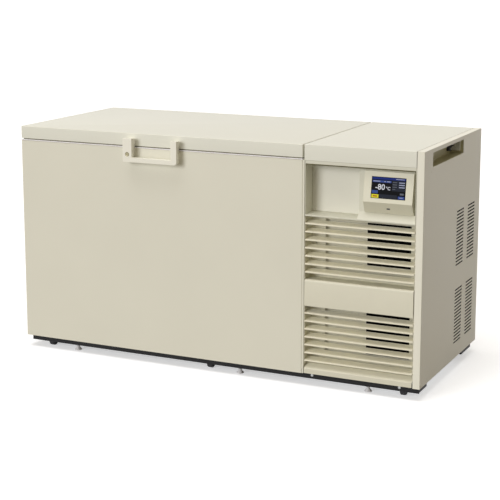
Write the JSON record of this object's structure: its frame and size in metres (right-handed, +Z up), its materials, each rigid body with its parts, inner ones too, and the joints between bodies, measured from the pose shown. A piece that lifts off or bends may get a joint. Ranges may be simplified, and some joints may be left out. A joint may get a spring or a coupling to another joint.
{
  "type": "chest ultra low temperature freezer",
  "caption": "Wide chest freezer with a hinged insulated lid and bar latch, beside a machine compartment with a touch screen, louvred intake grille, side recess and vents.",
  "frame": {"origin": "centre of the bounding box, on the floor", "axes": "+X from the chest to the machine compartment, +Y from the front to the back, +Z up"},
  "size_m": [2, 0.933, 1.079],
  "materials": {
    "cabinet_paint": "satin",
    "lid_paint": "satin",
    "cream_plastic": "satin",
    "housing_plastic": "satin",
    "screen_glass": "gloss",
    "frame_steel": "satin",
    "zinc_steel": "satin",
    "liner_steel": "satin",
    "foam": "matte",
    "throat_plastic": "satin",
    "seal_rubber": "matte",
    "black_plastic": "satin",
    "wheel_rubber": "matte",
    "caster_metal": "satin",
    "lock_metal": "polished",
    "coil_metal": "satin",
    "motor_metal": "satin",
    "compressor_paint": "satin",
    "grey_metal": "satin"
  },
  "bodies": {
    "cabinet": {"outer_case": "cabinet_paint", "insulation": "foam", "inner_liner": "liner_steel", "throat_frame": "throat_plastic", "cabinet_hinges": "zinc_steel", "base_frame": "frame_steel", "machine_base_plate": "zinc_steel", "caster_plates": "zinc_steel", "front_post": "cabinet_paint", "machine_deck": "lid_paint", "side_panel": "cabinet_paint", "recess_tray": "cabinet_paint", "breaker_body": "black_plastic", "terminal_strip": "cream_plastic", "control_panel": "cream_plastic", "recorder_blank": "cabinet_paint", "display_housing": "housing_plastic", "touch_screen": "screen_glass", "front_bulkhead": "cabinet_paint", "condensers": "coil_metal", "condenser_filters": "black_plastic", "fan_shrouds": "zinc_steel", "fan_motors": "motor_metal", "compressors": "compressor_paint", "heat_exchanger": "throat_plastic", "electrical_box": "grey_metal", "rear_panel": "cabinet_paint", "cord_gland": "black_plastic", "rear_spacers": "black_plastic"},
    "lid": {"lid_shell": "lid_paint", "lid_pan": "throat_plastic", "lid_foam": "foam", "lid_gasket": "seal_rubber", "lid_hinge_leaves": "zinc_steel", "latch_brackets": "cream_plastic"},
    "handle": {"latch_handle": "cream_plastic"},
    "key": {"key_cylinder": "lock_metal"},
    "inner_lid_left": {"inner_lid_left": "throat_plastic"},
    "inner_lid_right": {"inner_lid_right": "throat_plastic"},
    "toggle": {"breaker_toggle": "black_plastic"},
    "grille": {"front_grille": "cream_plastic"},
    "lower_fan": {"lower_fan": "black_plastic"},
    "upper_fan": {"upper_fan": "black_plastic"},
    "fork_front_left": {"caster_fork_front_left": "caster_metal"},
    "wheels_front_left": {"caster_wheels_front_left": "wheel_rubber"},
    "fork_front_middle": {"caster_fork_front_middle": "caster_metal"},
    "wheels_front_middle": {"caster_wheels_front_middle": "wheel_rubber"},
    "fork_front_right": {"caster_fork_front_right": "caster_metal"},
    "wheels_front_right": {"caster_wheels_front_right": "wheel_rubber"},
    "fork_rear_left": {"caster_fork_rear_left": "caster_metal"},
    "wheels_rear_left": {"caster_wheels_rear_left": "wheel_rubber"},
    "fork_rear_middle": {"caster_fork_rear_middle": "caster_metal"},
    "wheels_rear_middle": {"caster_wheels_rear_middle": "wheel_rubber"},
    "fork_rear_right": {"caster_fork_rear_right": "caster_metal"},
    "wheels_rear_right": {"caster_wheels_rear_right": "wheel_rubber"},
    "foot_left": {"levelling_foot_left": "caster_metal"},
    "foot_middle": {"levelling_foot_middle": "caster_metal"},
    "foot_right": {"levelling_foot_right": "caster_metal"}
  },
  "joints": [
    {"name": "lid_hinge", "type": "hinge", "parent": "cabinet", "child": "lid", "pos_m": [-0.274, 0.44, 1.016], "axis": [-1, 0, 0], "range_deg": [0, 85]},
    {"name": "latch_hinge", "type": "hinge", "parent": "lid", "child": "handle", "pos_m": [-0.282, -0.441, 1.045], "axis": [-1, 0, 0], "range_deg": [0, 50]},
    {"name": "key_turn", "type": "hinge", "parent": "handle", "child": "key", "pos_m": [-0.397, -0.465, 0.9865], "axis": [0, 1, 0], "range_deg": [0, 90]},
    {"name": "inner_lid_left_lift", "type": "slide", "parent": "cabinet", "child": "inner_lid_left", "axis": [0, 0, 1], "range_m": [0, 0.05]},
    {"name": "inner_lid_right_lift", "type": "slide", "parent": "cabinet", "child": "inner_lid_right", "axis": [0, 0, 1], "range_m": [0, 0.05]},
    {"name": "breaker_throw", "type": "hinge", "parent": "cabinet", "child": "toggle", "pos_m": [0.9555, 0.083, 1.036], "axis": [0, 1, 0], "range_deg": [0, 30]},
    {"name": "grille_pull", "type": "slide", "parent": "cabinet", "child": "grille", "axis": [0, -1, 0], "range_m": [0, 0.06]},
    {"name": "lower_fan_spin", "type": "hinge", "parent": "cabinet", "child": "lower_fan", "pos_m": [0.824, -0.2515, 0.248], "axis": [0, 1, 0], "continuous": true},
    {"name": "upper_fan_spin", "type": "hinge", "parent": "cabinet", "child": "upper_fan", "pos_m": [0.824, -0.2515, 0.648], "axis": [0, 1, 0], "continuous": true},
    {"name": "swivel_front_left", "type": "hinge", "parent": "cabinet", "child": "fork_front_left", "pos_m": [-0.89, -0.3695, 0.06], "axis": [0, 0, 1], "continuous": true},
    {"name": "roll_front_left", "type": "hinge", "parent": "fork_front_left", "child": "wheels_front_left", "pos_m": [-0.89, -0.3575, 0.025], "axis": [1, 0, 0], "continuous": true},
    {"name": "swivel_front_middle", "type": "hinge", "parent": "cabinet", "child": "fork_front_middle", "pos_m": [-0.028, -0.3695, 0.06], "axis": [0, 0, 1], "continuous": true},
    {"name": "roll_front_middle", "type": "hinge", "parent": "fork_front_middle", "child": "wheels_front_middle", "pos_m": [-0.028, -0.3575, 0.025], "axis": [1, 0, 0], "continuous": true},
    {"name": "swivel_front_right", "type": "hinge", "parent": "cabinet", "child": "fork_front_right", "pos_m": [0.909, -0.3695, 0.06], "axis": [0, 0, 1], "continuous": true},
    {"name": "roll_front_right", "type": "hinge", "parent": "fork_front_right", "child": "wheels_front_right", "pos_m": [0.909, -0.3575, 0.025], "axis": [1, 0, 0], "continuous": true},
    {"name": "swivel_rear_left", "type": "hinge", "parent": "cabinet", "child": "fork_rear_left", "pos_m": [-0.89, 0.2735, 0.06], "axis": [0, 0, 1], "continuous": true},
    {"name": "roll_rear_left", "type": "hinge", "parent": "fork_rear_left", "child": "wheels_rear_left", "pos_m": [-0.89, 0.2855, 0.025], "axis": [1, 0, 0], "continuous": true},
    {"name": "swivel_rear_middle", "type": "hinge", "parent": "cabinet", "child": "fork_rear_middle", "pos_m": [-0.028, 0.2735, 0.06], "axis": [0, 0, 1], "continuous": true},
    {"name": "roll_rear_middle", "type": "hinge", "parent": "fork_rear_middle", "child": "wheels_rear_middle", "pos_m": [-0.028, 0.2855, 0.025], "axis": [1, 0, 0], "continuous": true},
    {"name": "swivel_rear_right", "type": "hinge", "parent": "cabinet", "child": "fork_rear_right", "pos_m": [0.909, 0.2735, 0.06], "axis": [0, 0, 1], "continuous": true},
    {"name": "roll_rear_right", "type": "hinge", "parent": "fork_rear_right", "child": "wheels_rear_right", "pos_m": [0.909, 0.2855, 0.025], "axis": [1, 0, 0], "continuous": true},
    {"name": "levelling_left", "type": "slide", "parent": "cabinet", "child": "foot_left", "axis": [0, 0, -1], "range_m": [0, 0.01]},
    {"name": "levelling_middle", "type": "slide", "parent": "cabinet", "child": "foot_middle", "axis": [0, 0, -1], "range_m": [0, 0.01]},
    {"name": "levelling_right", "type": "slide", "parent": "cabinet", "child": "foot_right", "axis": [0, 0, -1], "range_m": [0, 0.01]}
  ]
}
